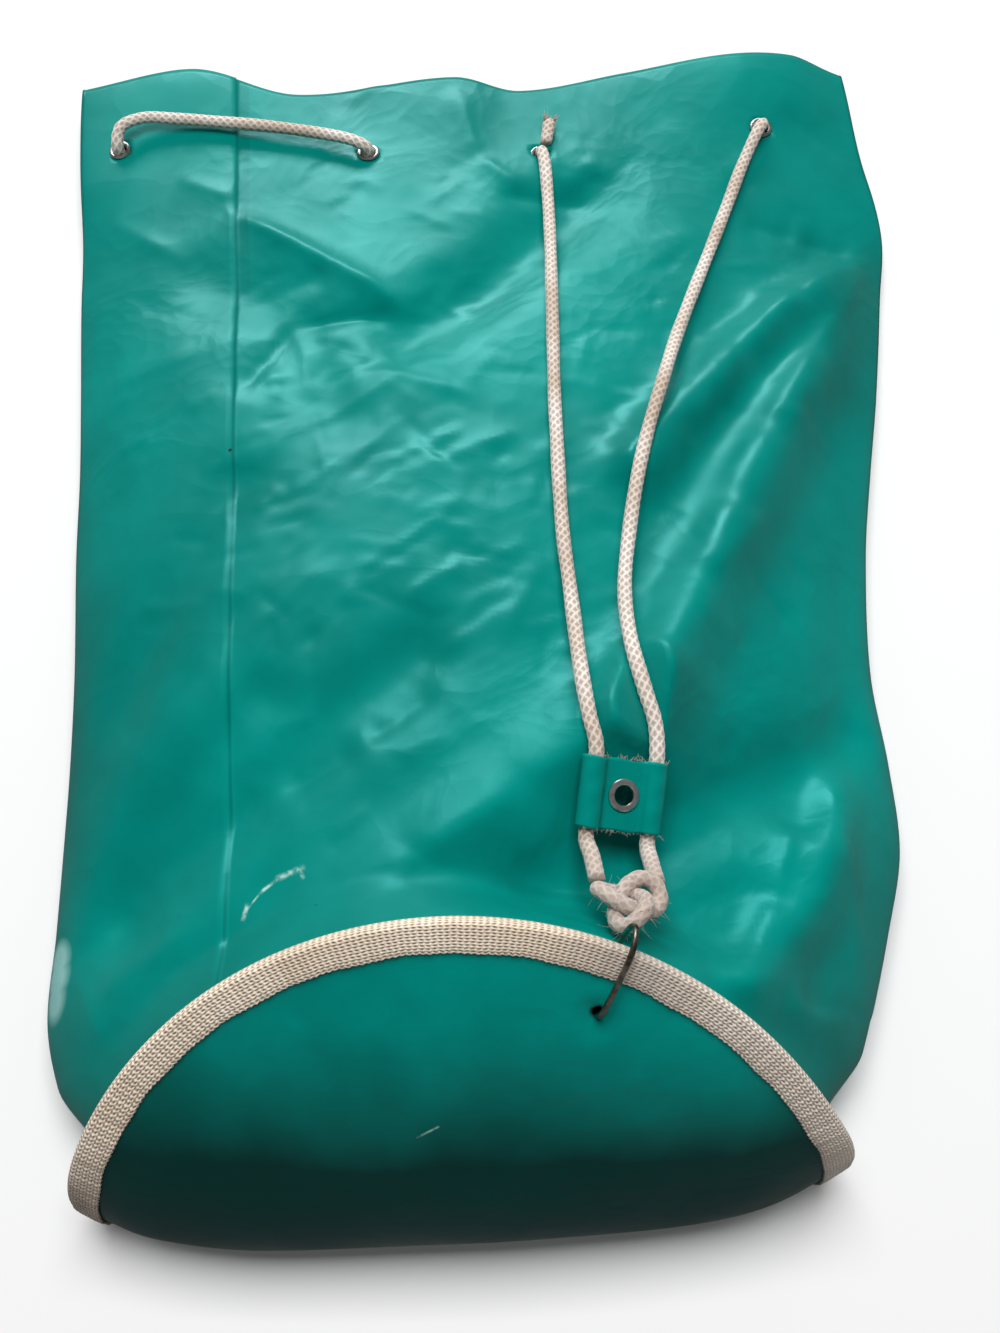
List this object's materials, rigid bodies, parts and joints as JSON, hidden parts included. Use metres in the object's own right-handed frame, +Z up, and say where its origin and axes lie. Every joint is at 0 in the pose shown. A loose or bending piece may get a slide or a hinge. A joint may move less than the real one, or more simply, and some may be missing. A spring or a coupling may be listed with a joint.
{
  "type": "drawstring duffel bag",
  "caption": "Empty round-bottomed drawstring duffel of green vinyl lying flat, with a webbing-bound base, rolled eyelets, a plaited drawcord, a slider tab and a wire ring.",
  "frame": {"origin": "middle of the lying bag over its outline, on the surface that it lies on", "axes": "+Y along the bag towards its open mouth, with the round base at -Y; +Z up, out of the front panel; +X to the bag's right as seen from above with the mouth away from the viewer"},
  "size_m": [0.3821, 0.5314, 0.1251],
  "materials": {
    "vinyl": "glossy creased PVC-coated fabric",
    "webbing": "woven cream webbing, dirty at its lower ends",
    "metal": "worn nickel plate",
    "cord": "plaited off-white cord, greyed by use",
    "ring_wire": "tarnished bent wire"
  },
  "bodies": {
    "root": {"body_wall": "vinyl", "base_panel": "vinyl", "rim_binding": "webbing", "eyelet_1": "metal", "eyelet_2": "metal", "eyelet_3": "metal", "eyelet_4": "metal", "eyelet_5": "metal", "eyelet_6": "metal", "eyelet_7": "metal", "eyelet_8": "metal", "drawcord": "cord", "cord_knot": "cord", "cord_end": "cord", "slider_tab": "vinyl", "tab_eyelet": "metal", "base_ring": "ring_wire"}
  },
  "joints": []
}
